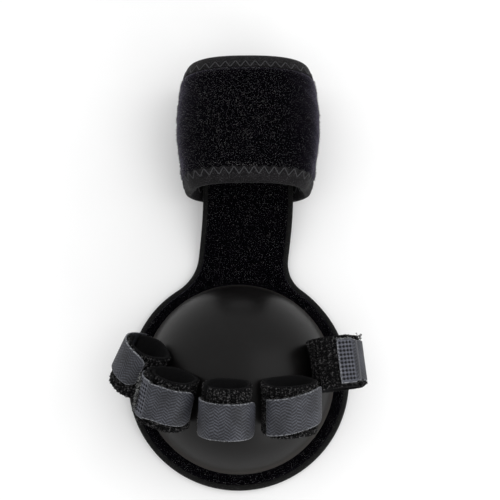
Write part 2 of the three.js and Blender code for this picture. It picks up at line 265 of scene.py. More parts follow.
def strap_outline():
    """The strap laid flat, across and along, with rounded corners."""
    half, length, corner = STRAP_WIDTH / 2, strap_path.length, STRAP_END_CORNER
    return np.concatenate([
        arc(half - corner, corner, corner, -90, 0),
        arc(half - corner, length - corner, corner, 0, 90),
        arc(corner - half, length - corner, corner, 90, 180),
        arc(corner - half, corner, corner, 180, 270),
    ])


# Places on the finger loops

ball_centre = BOARD_THICKNESS + SEAM + BALL_HEIGHT - BALL_RADIUS


class Loop:
    """A tape and its hook tab, seated on the ball. up and along are the directions of the loop's height and
    of its bore, and side runs across them."""

    def __init__(self, row):
        self.row = row
        azimuth, polar, heading = (math.radians(row[k]) for k in ("azimuth", "polar", "heading"))
        self.up = np.array([
            math.sin(polar) * math.cos(azimuth), math.sin(polar) * math.sin(azimuth), math.cos(polar),
        ])
        x, y = math.sin(heading), -math.cos(heading)
        self.along = unit(np.array([x, y, -(x * self.up[0] + y * self.up[1]) / self.up[2]]))
        self.side = np.cross(self.up, self.along)
        self.foot = self.up * (BALL_RADIUS + SEAM + LOOP_THICKNESS) + [0, 0, ball_centre]
        half, end = row["height"] / 2, row["outer"] - FULL_TURN
        self.lapped = row["outer"] < row["inner"]
        self.weld_end = row["weld_from"] + row["weld"] * WELD_PITCH
        self.tape_path = Oval(row["half_width"], half, LOOP_OVAL, half, row["inner"], end)
        self.tab_path = Oval(row["half_width"], half, LOOP_OVAL, half, row["tab_from"], row["tab_to"])
        self.steps = np.arange(0, self.tab_path.length, 0.1)
        spine = self.on_tab(0 * self.steps, self.steps, TAB_THICKNESS)
        self.runs = np.concatenate([[0], np.cumsum(np.linalg.norm(np.diff(spine, axis=0), axis=1))])

    def place(self, path, across, distance, out):
        """Places on a path round the loop, its lower half bent down to lie on the ball."""
        x, y = path.at(distance, out)
        lie = 1 - smooth(y, 0, path.half_height)
        reach = np.minimum(np.hypot(x, across), BALL_RADIUS)
        height = y - lie * (BALL_RADIUS - np.sqrt(BALL_RADIUS**2 - reach**2))
        x, height, across = (np.asarray(v)[..., None] for v in np.broadcast_arrays(x, height, across))
        return self.foot + x * self.side + height * self.up + across * self.along

    def on_tape(self, across, distance, out):
        """Places on the tape, which rises over its own end where it is lapped."""
        path, inner_end = self.tape_path, self.row["inner"] - FULL_TURN
        start, end = (path.distance_at(inner_end + short) for short in LAP_RISE)
        ply = PLY * smooth(distance, start, end) if self.lapped else 0
        return self.place(path, across, distance, out + ply)

    def on_tab(self, across, distance, out):
        """Places on the tab, which steps down from two plies of a lapped tape to one."""
        path, row = self.tab_path, self.row
        step = path.distance_at(row["outer"] - 2)
        ply = PLY * (2 - smooth(distance, step, step + 2 * PLY)) if self.lapped else PLY
        drift = row["shift"] + row["skew"] * (distance / path.length - 0.5)
        return self.place(path, across + drift, distance, out + ply)

    def tab_run(self, distance):
        """Distance over the tab's outer face, which its bend makes longer."""
        return np.interp(distance, self.steps, self.runs)

    def tab_half(self, distance):
        """Half of the tab's width, wider where a weld has spread it and rounded at its free end."""
        cut = np.clip(TAB_CORNER - (self.tab_path.length - distance), 0, TAB_CORNER)
        past = smooth(self.tab_run(distance), self.weld_end - 1, self.weld_end + 0.5)
        spread = WELD_SPREAD * (1 - past) if self.row["weld"] else 0
        return self.row["tab"] / 2 - TAB_CORNER + np.sqrt(TAB_CORNER**2 - cut**2) + spread


# Meshes

def make_piece(name, points, faces, material, slot, marks=None, flat=None):
    """A mesh piece from points in millimetres, faces pointing outwards, riding on the splint."""
    points = np.asarray(points, float)
    a, b, c = (points[faces[:, k]] for k in range(3))
    volume = np.einsum("ij,ij->i", a, np.cross(b, c)).sum()
    if faces.shape[1] == 4:
        volume += np.einsum("ij,ij->i", a, np.cross(c, points[faces[:, 3]])).sum()
    if volume < 0:
        faces = faces[:, ::-1]
    mesh = bpy.data.meshes.new(name)
    mesh.vertices.add(len(points))
    mesh.vertices.foreach_set("co", (points * MM).astype(np.float32).ravel())
    mesh.loops.add(faces.size)
    mesh.loops.foreach_set("vertex_index", faces.astype(np.int32).ravel())
    mesh.polygons.add(len(faces))
    mesh.polygons.foreach_set("loop_start", np.arange(0, faces.size, faces.shape[1], dtype=np.int32))
    mesh.polygons.foreach_set("use_smooth", np.ones(len(faces), bool))
    mesh.update(calc_edges=True)
    for label, values in (("marks", marks), ("flat", flat)):
        if values is not None:
            layer = mesh.attributes.new(label, "FLOAT_VECTOR", "POINT")
            layer.data.foreach_set("vector", np.asarray(values, np.float32).ravel())
    mesh.validate()
    mesh.materials.append(material)
    piece = bpy.data.objects.new(name, mesh)
    bpy.context.scene.collection.objects.link(piece)
    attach(piece, "root")
    return piece


def both_faces(upper, lower):
    """The two grids of a sheet as one list of points, or of values at them."""
    return np.concatenate([upper.reshape(-1, 3), lower.reshape(-1, 3)])


def sheet_faces(rows, columns):
    """Quads of a closed sheet: an upper grid, a lower grid after it, and a wall round the border."""
    grid = np.arange(rows * columns).reshape(rows, columns)
    top = np.stack([grid[:-1, :-1], grid[:-1, 1:], grid[1:, 1:], grid[1:, :-1]], -1).reshape(-1, 4)
    border = np.concatenate([grid[0, :-1], grid[:-1, -1], grid[-1, :0:-1], grid[:0:-1, 0]])
    after = np.roll(border, -1)
    size = rows * columns
    wall = np.stack([after, border, border + size, after + size], -1)
    return np.concatenate([top, top[:, ::-1] + size, wall])


def ring_faces(rings, count, closed):
    """Quads between rings of points, joined end to end where closed."""
    last = rings if closed else rings - 1
    i, j = np.meshgrid(np.arange(last), np.arange(count), indexing="ij")
    k, n = (j + 1) % count, (i + 1) % rings
    return np.stack([i * count + j, i * count + k, n * count + k, n * count + j], -1).reshape(-1, 4)


def even_outline(corners, spacing):
    """Evenly spaced points round a closed outline, their outward directions and distances."""
    loop = np.concatenate([corners, corners[:1]])
    run = np.concatenate([[0], np.cumsum(np.linalg.norm(np.diff(loop, axis=0), axis=1))])
    keep = np.concatenate([[True], np.diff(run) > 1e-9])
    count = int(run[-1] / spacing)
    distance = np.arange(count) * run[-1] / count
    spots = np.stack([np.interp(distance, run[keep], loop[keep, k]) for k in (0, 1)], 1)
    ahead = unit(np.roll(spots, -1, 0) - np.roll(spots, 1, 0))
    return spots, np.stack([ahead[:, 1], -ahead[:, 0]], 1), distance


def edge_distance(spots, outline):
    """Distance from each spot to a dense outline, worked out in batches to save memory."""
    batches = (outline[None] - batch[:, None] for batch in np.array_split(spots, 40))
    return np.concatenate([np.linalg.norm(gaps, axis=2).min(1) for gaps in batches])


def inside_outline(spots, outline):
    """Whether each spot lies inside a closed outline."""
    x, y = spots.T
    inside = np.zeros(len(spots), bool)
    for (x0, y0), (x1, y1) in zip(outline, np.roll(outline, -1, 0)):
        crosses = (y0 > y) != (y1 > y)
        if crosses.any():
            at = x0 + (y[crosses] - y0) * (x1 - x0) / (y1 - y0)
            inside[crosses] ^= x[crosses] < at
    return inside


def directions(place, u, v, out, step=0.05):
    """Points of a surface with the unit directions along u, along v and outwards."""
    here = place(u, v, out)
    along_u = unit(place(u + step, v, out) - here)
    along_v = unit(place(u, v + step, out) - here)
    outward = unit(place(u, v, out + step) - here)
    return here, along_u, along_v, outward


def tubes(name, paths, reference, radius, sides, material, slot):
    """Thin closed tubes along paths of equal numbers of points. reference is roughly square to each path."""
    count, rings = paths.shape[:2]
    ahead = unit(np.gradient(paths, axis=1))
    across = unit(np.cross(ahead, reference))
    square = np.cross(across, ahead)
    angle = np.arange(sides) * math.tau / sides
    spoke = across[:, :, None] * np.cos(angle)[:, None] + square[:, :, None] * np.sin(angle)[:, None]
    points = (paths[:, :, None] + radius * spoke).reshape(-1, 3)
    quads = ring_faces(rings, sides, False)
    walls = np.concatenate([quads[:, :3], quads[:, [0, 2, 3]]])
    fan = np.array([[0, k + 1, k] for k in range(1, sides - 1)])
    one = np.concatenate([walls, fan, fan[:, ::-1] + (rings - 1) * sides])
    faces = (one[None] + np.arange(count)[:, None, None] * rings * sides).reshape(-1, 3)
    make_piece(name, points, faces, material, slot)


def bristles(name, here, outward, lean, height):
    """Single fibres of velour, each a closed sliver from its buried root to its tip."""
    root = 0.12
    count = len(here)
    tip = here + unit(outward + lean) * height[:, None]
    across = unit(np.cross(outward, rng.normal(size=(count, 3))))
    square = np.cross(outward, across)
    angle = np.arange(3)[:, None] * math.tau / 3
    spoke = across[:, None] * np.cos(angle) + square[:, None] * np.sin(angle)
    feet = here[:, None] + FIBRE_RADIUS * spoke - outward[:, None] * root
    points = np.concatenate([feet, tip[:, None]], 1).reshape(-1, 3)
    one = np.array([[0, 2, 1], [0, 1, 3], [1, 2, 3], [2, 0, 3]])
    faces = (one[None] + np.arange(count)[:, None, None] * len(one)).reshape(-1, 3)
    make_piece(name, points, faces, velour_fibre, "velour")


# Material nodes

class Shade:
    """A number on a node's socket. Sums and products of shades add Math nodes."""

    def __init__(self, finish, socket):
        self.finish = finish
        self.socket = socket

    def math(self, operation, first, second):
        return self.finish.node("Math", {"operation": operation}, {0: first, 1: second})

    def __add__(self, other):
        return self.math("ADD", self, other)

    def __radd__(self, other):
        return self.math("ADD", other, self)

    def __sub__(self, other):
        return self.math("SUBTRACT", self, other)

    def __rsub__(self, other):
        return self.math("SUBTRACT", other, self)

    def __mul__(self, other):
        return self.math("MULTIPLY", self, other)

    def __rmul__(self, other):
        return self.math("MULTIPLY", other, self)


class Finish:
    """A material and its node tree."""

    def __init__(self, name, **constants):
        self.material = bpy.data.materials.new(name)
        self.material.use_nodes = True
        self.tree = self.material.node_tree
        self.skin = self.tree.nodes["Principled BSDF"]
        for key, value in constants.items():
            self.skin.inputs[key.replace("_", " ")].default_value = value

    def node(self, kind, settings=None, sockets=None, output=0):
        """Any node: its settings first, then the values or links of its sockets."""
        made = self.tree.nodes.new("ShaderNode" + kind)
        for key, value in (settings or {}).items():
            setattr(made, key, value)
        for key, value in (sockets or {}).items():
            self.plug(made.inputs[key], value)
        return Shade(self, made.outputs[output])

    def plug(self, socket, value):
        if isinstance(value, Shade):
            self.tree.links.new(value.socket, socket)
        else:
            socket.default_value = value

    def mix(self, factor, first, second):
        """One colour turning into another."""
        return self.node("Mix", {"data_type": "RGBA"}, {0: factor, 6: first, 7: second}, output=2)

    def wave(self, distance, pitch):
        """A sine wave along a distance in metres, its pitch in millimetres."""
        return self.node("Math", {"operation": "SINE"}, {0: distance * (math.tau / (pitch * MM))})

    def places(self):
        """The splint's own coordinates, in metres."""
        return self.node("TexCoord", output=3)

    def marks(self, name, axis):
        """One component of a point attribute."""
        vector = self.node("Attribute", {"attribute_name": name}, output=1)
        return self.node("SeparateXYZ", sockets={0: vector}, output=axis)

    def noise(self, size, detail=2.0, roughness=0.5):
        """Noise with features of a size in millimetres."""
        values = {"Vector": self.places(), "Scale": 1 / (size * MM), "Detail": detail, "Roughness": roughness}
        return self.node("TexNoise", sockets=values)

    def spread(self, value, low, high):
        """A value's range stretched to 0 to 1."""
        return self.node("MapRange", {"interpolation_type": "SMOOTHSTEP"}, {0: value, 1: low, 2: high})

    def bump(self, height, strength, depth):
        """Relief on the surface, in millimetres."""
        values = {"Strength": strength, "Distance": depth * MM, "Height": height}
        return self.node("Bump", sockets=values)

    def set(self, **links):
        for key, value in links.items():
            self.plug(self.skin.inputs[key.replace("_", " ")], value)
        return self.material


def srgb(red, green, blue):
    """A colour on the linear scale from 0 to 255 values."""
    parts = [v / 255 for v in (red, green, blue)]
    return [v / 12.92 if v <= 0.04045 else ((v + 0.055) / 1.055) ** 2.4 for v in parts] + [1.0]


# Materials

def velour_finish():
    """Black velour with a soft sheen that shows where it turns away."""
    finish = Finish("velour", Sheen_Weight=1.0, Sheen_Roughness=0.33, Specular_IOR_Level=0.0)
    finish.skin.inputs["Sheen Tint"].default_value = srgb(150, 145, 165)
    fleck = finish.spread(finish.noise(0.7, 3.0, 0.65), 0.5, 0.75)
    shade = finish.spread(finish.noise(6.0, 2.0), 0.35, 0.75)
    dark = finish.mix(shade, srgb(1, 1, 2), srgb(4, 3, 5))
    colour = finish.mix(fleck, dark, srgb(14, 13, 17))
    relief = finish.bump(finish.noise(0.45, 3.0, 0.7), 0.6, 0.25)
    return finish.set(Base_Color=colour, Roughness=0.95, Normal=relief)


def velour_fibre_finish():
    """Single fibres, most of them black and a few pale."""
    finish = Finish("velour_fibre", Sheen_Weight=0.4, Sheen_Roughness=0.3, Specular_IOR_Level=0.0)
    fleck = finish.spread(finish.noise(0.45, 1.0), 0.57, 0.66)
    colour = finish.mix(fleck, srgb(1, 1, 2), srgb(47, 43, 52))
    return finish.set(Base_Color=colour, Roughness=0.7)


def binding_finish(name, deep, worn_tone, rib_tone, fleck_tone):
    """Fine knitted binding with pale flecks."""
    finish = Finish(name, Sheen_Weight=0.08, Sheen_Roughness=0.3, Specular_IOR_Level=0.12)
    around, over = (finish.marks("flat", axis) for axis in range(2))
    knit = finish.wave(around, 0.55) * finish.wave(over, 0.42) * 0.5 + 0.5
    worn = finish.spread(finish.noise(3.0, 3.0), 0.35, 0.7)
    base = finish.mix(worn, deep, worn_tone)
    fleck = finish.spread(finish.noise(0.45, 2.0), 0.54, 0.68)
    colour = finish.mix(fleck * 0.6, finish.mix(knit * 0.25, base, rib_tone), fleck_tone)
    relief = finish.bump(knit + finish.noise(0.3, 2.0) * 0.5, 0.5, 0.12)
    return finish.set(Base_Color=colour, Roughness=0.82, Normal=relief)


def thread_finish():
    finish = Finish("sewing_thread", Specular_IOR_Level=0.3)
    colour = finish.mix(finish.noise(0.8), srgb(38, 38, 40), srgb(74, 74, 77))
    return finish.set(Base_Color=colour, Roughness=0.6)


def ball_finish():
    """Smooth satin foam skin, its colour lightened towards its foot as a painted highlight."""
    finish = Finish("moulded_skin", Specular_IOR_Level=0.17)
    scuff = finish.spread(finish.noise(9.0, 4.0, 0.6), 0.45, 0.8)
    height = finish.node("SeparateXYZ", sockets={0: finish.places()}, output=2)
    # Painted highlight: the colour turns lighter towards the foot, standing in for the light the skin reflects
    # there
    painted_foot_highlight = 1 - finish.spread(height, 5 * MM, 16 * MM)
    skin = finish.mix(scuff, srgb(9, 8, 8), srgb(14, 13, 13))
    colour = finish.mix(painted_foot_highlight, skin, srgb(62, 60, 58))
    relief = finish.bump(finish.noise(0.7, 2.0), 0.3, 0.08)
    return finish.set(Base_Color=colour, Roughness=0.34 + scuff * 0.1, Normal=relief)


def pile_tape_finish():
    """The black woven ground of the pile tape."""
    finish = Finish("pile_tape", Specular_IOR_Level=0.1)
    around, across = (finish.marks("flat", axis) for axis in range(2))
    weave = finish.wave(across, 0.62) * finish.wave(around, 0.7) * 0.5 + 0.5
    colour = finish.mix(weave, srgb(3, 3, 4), srgb(20, 20, 21))
    relief = finish.bump(weave, 0.7, 0.2)
    return finish.set(Base_Color=colour, Roughness=0.9, Normal=relief)


def pile_thread_finish():
    """Loops of pile, most of them black and some with a glint."""
    finish = Finish("pile_thread", Specular_IOR_Level=0.12)
    fleck = finish.spread(finish.noise(0.8, 1.0), 0.52, 0.66)
    colour = finish.mix(fleck, srgb(2, 2, 3), srgb(92, 91, 92))
    return finish.set(Base_Color=colour, Roughness=0.55)


def hook_tape_finish():
    """Grey herringbone, its cut edges pale and its weld dots pressed dark."""
    finish = Finish("hook_tape", Specular_IOR_Level=0.3)
    ridge, edge, dot = (finish.marks("marks", axis) for axis in range(3))
    broad = finish.spread(finish.noise(4.0, 2.0), 0.3, 0.7)
    low = finish.mix(broad, srgb(4, 4, 6), srgb(14, 14, 18))
    high = finish.mix(broad, srgb(73, 75, 84), srgb(86, 88, 97))
    woven = finish.mix(ridge, low, high)
    frayed = edge * finish.spread(finish.noise(0.6, 2.0), 0.4, 0.62)
    trimmed = finish.mix(frayed, woven, srgb(138, 140, 144))
    colour = finish.mix(dot, trimmed, srgb(7, 7, 8))
    relief = finish.bump(finish.noise(0.22, 2.0), 0.4, 0.08)
    return finish.set(Base_Color=colour, Roughness=0.62 + dot * 0.3, Normal=relief)


def hook_thread_finish():
    finish = Finish("hook_thread", Specular_IOR_Level=0.6)
    pale = finish.spread(finish.noise(1.2, 1.0), 0.4, 0.7)
    colour = finish.mix(pale, srgb(26, 26, 28), srgb(128, 130, 128))
    return finish.set(Base_Color=colour, Roughness=0.35)


velour = velour_finish()
velour_fibre = velour_fibre_finish()
strap_tape = binding_finish("strap_tape", srgb(5, 5, 6), srgb(17, 16, 17), srgb(32, 31, 33), srgb(68, 66, 69))
board_tape = binding_finish("board_tape", srgb(4, 4, 4), srgb(11, 11, 11), srgb(22, 22, 22), srgb(46, 46, 45))
thread = thread_finish()
ball_skin = ball_finish()
pile_tape = pile_tape_finish()
pile_thread = pile_thread_finish()
hook_tape = hook_tape_finish()
hook_thread = hook_thread_finish()


# Padded velour under its folded tape

def puffed(edge, lip, sink, puff, run):
    """Height of a padded face at a distance from its edge: tucked under the tape's lip by sink, then swelling
    beside it by puff and settling over run."""
    tucked = -sink * (1 - smooth(edge, lip - 0.3, lip + 0.9))
    swell = puff * smooth(edge, lip - 0.2, lip + 1.8) * (1 - smooth(edge, lip + 1.8, lip + run))
    return tucked + swell


class Padding:
    """How the padded faces of a sheet swell beside its folded tape."""

    def __init__(self, outline, lip, sink, puff, run):
        self.outline = even_outline(outline, OUTLINE_STEP)[0]
        self.lip, self.sink, self.puff, self.run = lip, sink, puff, run

    def edge(self, u, v):
        return edge_distance(np.stack([u, v], -1).reshape(-1, 2), self.outline).reshape(u.shape)

    def upper(self, u, v):
        """Height of the upper face, with low lumps in its pile."""
        edge = self.edge(u, v)
        lumps = 0.12 * np.sin(u * 0.61 + 1.3) * np.sin(v * 0.47) + 0.08 * np.sin(u * 1.1 - v * 0.83)
        lumps *= smooth(edge, self.lip, self.lip + 4)
        return puffed(edge, self.lip, self.sink, self.puff, self.run) + lumps

    def lower(self, u, v):
        """Height of the lower face, which swells less."""
        return -puffed(self.edge(u, v), self.lip, self.sink, self.puff * 0.35, self.run)


board_padding = Padding(board_outline(), EDGE_LIP, sink=EDGE_SINK + EDGE_TAPE + 0.1, puff=0.25, run=5)
strap_padding = Padding(strap_outline(), STRAP_LIP, sink=STRAP_TAPE + 0.15, puff=0.55, run=9)


def velour_sheet(name, u, v, place, padding, node):
    """A padded velour piece on a grid of spots, with its lower face and upper face both swelling."""
    upper = place(u, v, 1, padding.upper(u, v))
    lower = place(u, v, 0, padding.lower(u, v))
    piece = make_piece(name, both_faces(upper, lower), sheet_faces(*u.shape), velour, "velour")
    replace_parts(piece, node)


def edge_spaced(count):
    """Shares from -1 to 1 that lie closer together towards both edges."""
    return np.sin(np.linspace(-math.pi / 2, math.pi / 2, count))


def board_velour():
    """The board on rows across it, closer together at its round front and at its end."""
    inset, tip, end_rows = 1.5, 0.05, BOARD_END - 14
    corners, facing, _ = even_outline(board_outline(), OUTLINE_STEP)
    ring = corners - facing * inset
    right = ring[ring[:, 0] >= 0]
    right = right[np.argsort(right[:, 1])]
    rows = np.concatenate([
        BASE_RADIUS * -np.cos(np.linspace(0.06, 1.2, 24)),
        np.linspace(-17, end_rows, 110)[1:],
        np.linspace(end_rows, ring[:, 1].max() - tip, 12)[1:],
    ])
    rows = np.clip(rows, ring[:, 1].min() + tip, None)
    half = np.interp(rows, right[:, 1], right[:, 0])
    share = edge_spaced(61)
    u = half[:, None] * share
    v = np.repeat(rows[:, None], len(share), 1)
    velour_sheet("board_velour", u, v, on_board, board_padding, "base_board")


def strap_velour():
    """The strap on rows across it, closer together in its rounded end corners."""
    inset = 1.6
    length = strap_path.length
    share = edge_spaced(53)
    corner = STRAP_END_CORNER - inset
    bend = np.linspace(0.15, math.pi / 2, 10)
    near = inset + corner * (1 - np.cos(bend))
    along = np.concatenate([near, np.linspace(near[-1], length - near[-1], 120)[1:-1], length - near[::-1]])
    cut = np.clip(corner - (np.minimum(along, length - along) - inset), 0, corner)
    half = STRAP_WIDTH / 2 - inset - corner + np.sqrt(corner**2 - cut**2)
    u = half[:, None] * share
    v = np.repeat(along[:, None], len(share), 1)
    velour_sheet("strap_velour", u, v, on_strap, strap_padding, "wrist_strap")


def pile_field(name, place, padding, density, height, low, high):
    """Short velour fibres scattered over the upper face of a sheet, between its folded tapes."""
    count = int(density * (high[0] - low[0]) * (high[1] - low[1]))
    spots = rng.uniform(low, high, (count, 2))
    spots = spots[inside_outline(spots, padding.outline)]
    spots = spots[padding.edge(spots[:, 0], spots[:, 1]) > padding.lip + 0.3]
    u, v = spots.T
    rise = padding.upper(u, v)
    here, _, along_v, outward = directions(lambda u, v, out: place(u, v, 1, rise + out), u, v, 0)
    lean = 0.55 * along_v + rng.normal(size=here.shape) * 0.45
    bristles(name, here, outward, lean, height * rng.uniform(0.55, 1.2, len(here)))


# Folded tape and its stitches

def fold_section(lip, tape, sink, nose):
    """A rounded C, open towards the sheet: each point's distance out from the edge, its face from 1 above to
    0 below, and its height from that face. The outer skin comes first, then the inner one back again."""
    flat = np.linspace(-lip, -nose, 6)[:-1]
    turn = np.radians(np.linspace(90, -90, 9))
    depth = sink + tape
    inner_nose = max(nose - tape, 0.2)
    bend = [(math.cos(a) - 1, math.sin(a)) for a in turn]
    outer = [(o, 1, -sink) for o in flat]
    outer += [(nose * c, 0.5 + 0.5 * s, -sink * s) for c, s in bend]
    outer += [(o, 0, sink) for o in flat[::-1]]
    back = [(o, 0, depth) for o in flat]
    back += [(inner_nose * c - tape, 0.5 - 0.5 * s, depth * s) for c, s in bend]
    back += [(o, 1, -depth) for o in flat[::-1]]
    return np.array(outer + back)


def folded_tape(name, outline, place, lip, tape, sink, nose, pucker, material, node):
    """Tape folded over the edge of a sheet, its lip drawn in and lifted between the stitches."""
    spots, facing, run = even_outline(outline, 0.8)
    section = fold_section(lip, tape, sink, nose)
    out, face, up = (section[None, :, k] for k in range(3))
    wave = np.cos(math.tau * run / STITCH_PITCH)[:, None]
    near_lip = smooth(-out, lip * 0.35, lip)
    side = np.sign(face - 0.5)
    drawn = out - 0.35 * near_lip * pucker * (1 + wave)
    x = spots[:, :1] + facing[:, :1] * drawn
    y = spots[:, 1:] + facing[:, 1:] * drawn
    waist = smooth(-out, 0.1 * lip, 0.5 * lip) * (1 - smooth(-out, 0.6 * lip, lip))
    lift = up + side * (pucker * 0.16 * wave * near_lip + pucker * 0.22 * waist)
    points = place(x, y, np.broadcast_to(face, x.shape), lift)
    over = np.concatenate([[0], np.cumsum(np.linalg.norm(np.diff(points[0], axis=0), axis=1))])
    flat = np.stack(np.broadcast_arrays(run[:, None] * MM, over[None] * MM, 0 * x), -1)
    faces = ring_faces(len(spots), len(section), True)
    piece = make_piece(name, points.reshape(-1, 3), faces, material, "edge_tape", flat=flat.reshape(-1, 3))
    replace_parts(piece, node)


def zigzag(name, outline, place, near, far, lift):
    """Zigzag stitches round an outline, on both faces of a sheet, dipping where the needle went in."""
    spots, facing, run = even_outline(outline, STITCH_PITCH / 16)
    sway = np.abs(2 * (run / STITCH_PITCH % 1) - 1)
    depth = near + (far - near) * np.clip(sway, 0.06, 0.94)
    across, along = (spots - facing * depth[:, None]).T
    height = lift - 0.12 * smooth(np.abs(sway - 0.5), 0.38, 0.5)
    paths = np.stack([place(across, along, 1, height), place(across, along, 0, -height)])
    above = np.stack([place(across, along, 1, height + 1), place(across, along, 0, 1 - height)])
    tubes(name, paths, unit(above - paths), THREAD_RADIUS, 5, thread, "edge_tape")


# Half-ball pad

def ball_profile(foot):
    """Half of the ball's section, from the middle of its flat foot round to just short of its top."""
    lowest = math.asin((foot + BALL_FOOT_ROUND - ball_centre) / BALL_RADIUS)
    foot_x = BALL_RADIUS * math.cos(lowest) - BALL_FOOT_ROUND
    base = np.stack([np.linspace(0.5, foot_x, 10), np.full(10, foot)], 1)
    return np.concatenate([
        base[:-1],
        arc(foot_x, foot + BALL_FOOT_ROUND, BALL_FOOT_ROUND, -90, 0, 8),
        arc(0, ball_centre, BALL_RADIUS, math.degrees(lowest), 90, 74)[1:-1],
    ])


def ball_pad():
    """The half-ball, turned from its profile and closed at the top and in the middle of its foot."""
    count = 176
    foot = BOARD_THICKNESS + SEAM
    profile = ball_profile(foot)
    angle = np.arange(count) * math.tau / count
    x, z = profile[:, :1], profile[:, 1:]
    rings = np.stack([x * np.cos(angle), x * np.sin(angle), z + 0 * angle], -1).reshape(-1, 3)
    points = np.concatenate([rings, [[0, 0, ball_centre + BALL_RADIUS], [0, 0, foot]]])
    faces = ring_faces(len(profile), count, False)
    low = np.arange(count)
    high = low + (len(profile) - 1) * count
    top = np.stack([high, np.roll(high, -1), np.full(count, len(rings))], 1)
    bottom = np.stack([np.roll(low, -1), low, np.full(count, len(rings) + 1)], 1)
    triangles = np.concatenate([faces[:, :3], faces[:, [0, 2, 3]], top, bottom])
    piece = make_piece("palm_ball_skin", points, triangles, ball_skin, "ball")
    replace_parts(piece, "palm_ball")


# Finger loops

def tape_strip(name, loop):
    """The woven tape of a loop, with ribbed selvedges. Its upper face lies low to leave room for the pile."""
    length = loop.tape_path.length
    half = LOOP_WIDTH / 2
    share = edge_spaced(41)
    distance = np.linspace(0, length, int(length / 0.4))[:, None]
    u = share * (half - 0.15 + 0.16 * np.sin(math.tau * distance / SELVEDGE_PITCH))
    v = np.repeat(distance, len(share), 1)
    edge = half - np.abs(share) * half
    round_off = 0.45 * rounded(edge, 0.6)
    cushion = 0.1 * np.sin(math.tau * v / SELVEDGE_PITCH) * smooth(2.2 - edge, 0, 1.6)
    upper = loop.on_tape(u, v, LOOP_THICKNESS - 0.55 - round_off + cushion)
    lower = loop.on_tape(u, v, 0.1 + round_off * 0.8)
    flat = np.stack([v * MM, u * MM, np.ones_like(u)], -1)
    return make_piece(name, both_faces(upper, lower), sheet_faces(*u.shape), pile_tape, "pile_tape",
                      flat=both_faces(flat, flat))


def pile_spots(loop):
    """Places across and along the tape's outer face that no tab, second ply or ball covers, drawn together
    into columns, and whether each lies past the middle of its row."""
    row, path = loop.row, loop.tape_path
    start, end = 0.2, path.length - 0.2
    edge = LOOP_WIDTH / 2 - 0.7
    across = rng.uniform(-edge, edge, PILE_LOOPS * 3)
    distance = rng.uniform(start, end, PILE_LOOPS * 3)
    angle = (path.angle_at(distance) - row["tab_to"]) % FULL_TURN + row["tab_to"]
    share = (row["tab_from"] - angle) / (row["tab_from"] - row["tab_to"])
    drift = row["shift"] + row["skew"] * (share - 0.5)
    covered = (angle > row["tab_to"] + 3) & (angle < row["tab_from"] - 3)
    covered &= np.abs(across - drift) < row["tab"] / 2 - 0.6
    if loop.lapped:
        covered |= distance < path.distance_at(row["outer"] + 2)
    covered |= path.at(distance)[1] < 1.4
    keep = np.flatnonzero(~covered)[:PILE_LOOPS]
    across, distance = across[keep], distance[keep]
    column = np.round(distance / PILE_COLUMN) * PILE_COLUMN
    past_middle = across > np.round(across / PILE_ROW) * PILE_ROW
    return across, np.clip(column + (distance - column) * 0.62, start, end), past_middle


def tape_pile(name, loop):
    """Loops of pile standing on the tape, their slant changing from row to row."""
    across, distance, past_middle = pile_spots(loop)
    here, along_u, along_v, outward = directions(loop.on_tape, across, distance, LOOP_THICKNESS - 0.6)
    slant = np.where(past_middle, PILE_SLANT, math.pi - PILE_SLANT)[:, None]
    turn = slant + rng.normal(size=(len(here), 1)) * 0.3
    span = along_u * np.cos(turn) + along_v * np.sin(turn)
    sway = along_u * rng.normal(size=turn.shape) + along_v * rng.normal(size=turn.shape)
    lean = unit(outward + 0.35 * sway)
    width = rng.uniform(0.6, 1.3, turn.shape)
    tall = rng.uniform(0.55, 1.0, turn.shape)
    paths = np.stack([
        here - span * width * 0.45,
        here - span * width * 0.4 + lean * tall * 0.75,
        here + span * width * 0.25 + lean * tall,
        here + span * width * 0.5,
    ], 1)
    reference = np.repeat(np.cross(span, lean)[:, None], 4, 1)
    tubes(name, paths, reference, PILE_RADIUS, 3, pile_thread, "pile_tape")


def herringbone(along, across):
    """Relief of the woven back, from 0 in the grooves to 1 on the ridges. Short floats make each zigzag."""
    column = along / HERRINGBONE_COLUMN
    sway = np.abs(column % 2 - 1)
    wander = 0.12 * np.sin(across * 0.9 + along * 0.4) + 0.1 * np.sin(along * 1.7 - across * 0.3)
    line = (across + wander + HERRINGBONE_SLOPE * HERRINGBONE_COLUMN * sway) / HERRINGBONE_LINE
    line = line + 0.5 * (np.floor(column) % 2)
    ridge = 0.5 + 0.5 * np.cos(math.tau * line)
    floats = 0.5 + 0.5 * np.cos(math.tau * (along / HERRINGBONE_FLOAT + 0.5 * np.round(line)))
    fade = 0.75 + 0.25 * np.sin(along * 0.37 + 2.1) * np.sin(across * 0.29 + along * 0.11)
    return ridge * (0.62 + 0.38 * floats) * fade


def weld_marks(along, across, columns, start, width):
    """The pressed dots of a weld and the raised net between them, each from 0 to 1. The dots are diamonds
    with rounded corners."""
    if not columns:
        return np.zeros_like(along), np.zeros_like(along)
    power = 1.4
    rows = int(width / WELD_PITCH)
    column = np.round((along - start) / WELD_PITCH)
    row = np.round(across / WELD_PITCH - 0.5) + 0.5
    inside = (column >= 0) & (column < columns) & (np.abs(row) < rows / 2)
    ahead = np.abs(along - start - column * WELD_PITCH)
    aside = np.abs(across - row * WELD_PITCH)
    reach = (ahead**power + aside**power) ** (1 / power) / WELD_DOT
    dots = 1 - smooth(reach, 0.8, 1.4)
    net = smooth(reach, 1.2, 1.5) * (1 - smooth(reach, 1.7, 2.4))
    return np.where(inside, dots, 0), np.where(inside, net, 0)


